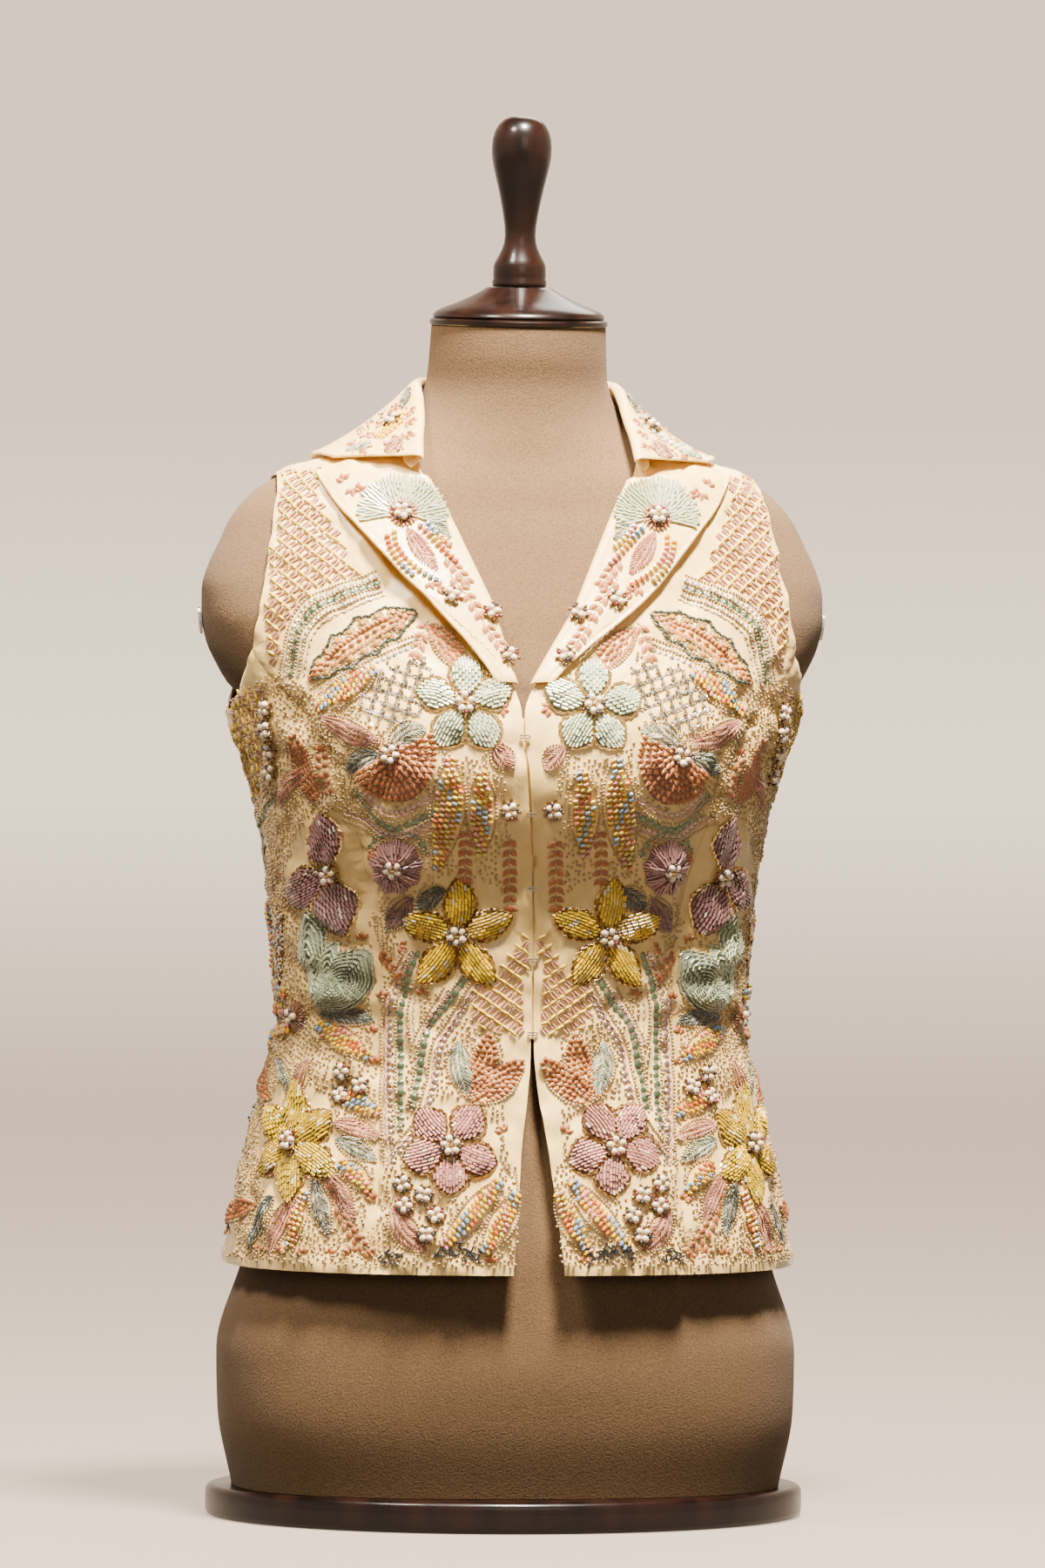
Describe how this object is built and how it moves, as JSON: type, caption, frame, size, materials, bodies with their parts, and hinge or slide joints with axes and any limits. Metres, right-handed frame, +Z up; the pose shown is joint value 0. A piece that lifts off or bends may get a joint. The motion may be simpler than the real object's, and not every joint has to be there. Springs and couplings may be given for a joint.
{
  "type": "beaded sleeveless jacket on a limbless dress form",
  "caption": "Fitted sleeveless satin jacket with notched lapels and raised beadwork, hooked down the front, worn by a limbless dress form with a turned handle.",
  "frame": {"origin": "on the floor, under the middle of the base board", "axes": "+Z up; the figure faces -Y; its own left side is +X"},
  "size_m": [0.3634, 0.2681, 0.8023],
  "materials": {
    "satin": "soft satin",
    "form_cloth": "matt brushed jersey",
    "wood": "dark gloss lacquer",
    "steel": "dull",
    "mint_beads": "glossy glass tube beads",
    "yellow_beads": "glossy glass tube beads",
    "pink_beads": "glossy glass tube beads",
    "mauve_beads": "glossy glass tube beads",
    "coral_sequins": "stitched leaf sequins",
    "pearls": "pearl lustre"
  },
  "bodies": {
    "root": {"form_body": "form_cloth", "base_board": "wood", "neck_cap": "wood", "neck_handle": "wood", "arm_plate_left": "steel", "arm_plate_right": "steel", "centre_front_left": "satin", "centre_front_right": "satin", "side_front_left": "satin", "side_front_right": "satin", "centre_back_left": "satin", "centre_back_right": "satin", "side_back_left": "satin", "side_back_right": "satin", "lapel_left": "satin", "lapel_right": "satin", "collar": "satin", "underlap": "satin", "hook_1": "steel", "hook_2": "steel", "hook_3": "steel", "hook_4": "steel", "hook_5": "steel", "flower_mint_left": "mint_beads", "flower_mint_right": "mint_beads", "flower_yellow_left": "yellow_beads", "flower_yellow_right": "yellow_beads", "flower_pink_left": "pink_beads", "flower_pink_right": "pink_beads", "flower_side_left": "yellow_beads", "flower_side_right": "yellow_beads", "flower_mauve_left": "mauve_beads", "flower_mauve_right": "mauve_beads", "bloom_mint_left": "mint_beads", "bloom_mint_right": "mint_beads", "rosette_left": "mauve_beads", "rosette_right": "mauve_beads", "floret_left": "coral_sequins", "floret_right": "coral_sequins", "fan_left": "coral_sequins", "fan_right": "coral_sequins", "pearls_closure_left": "pearls", "pearls_closure_right": "pearls", "pearls_hem_left": "pearls", "pearls_hem_right": "pearls", "pearls_waist_left": "pearls", "pearls_waist_right": "pearls", "pearls_side_left": "pearls", "pearls_side_right": "pearls"}
  },
  "joints": []
}
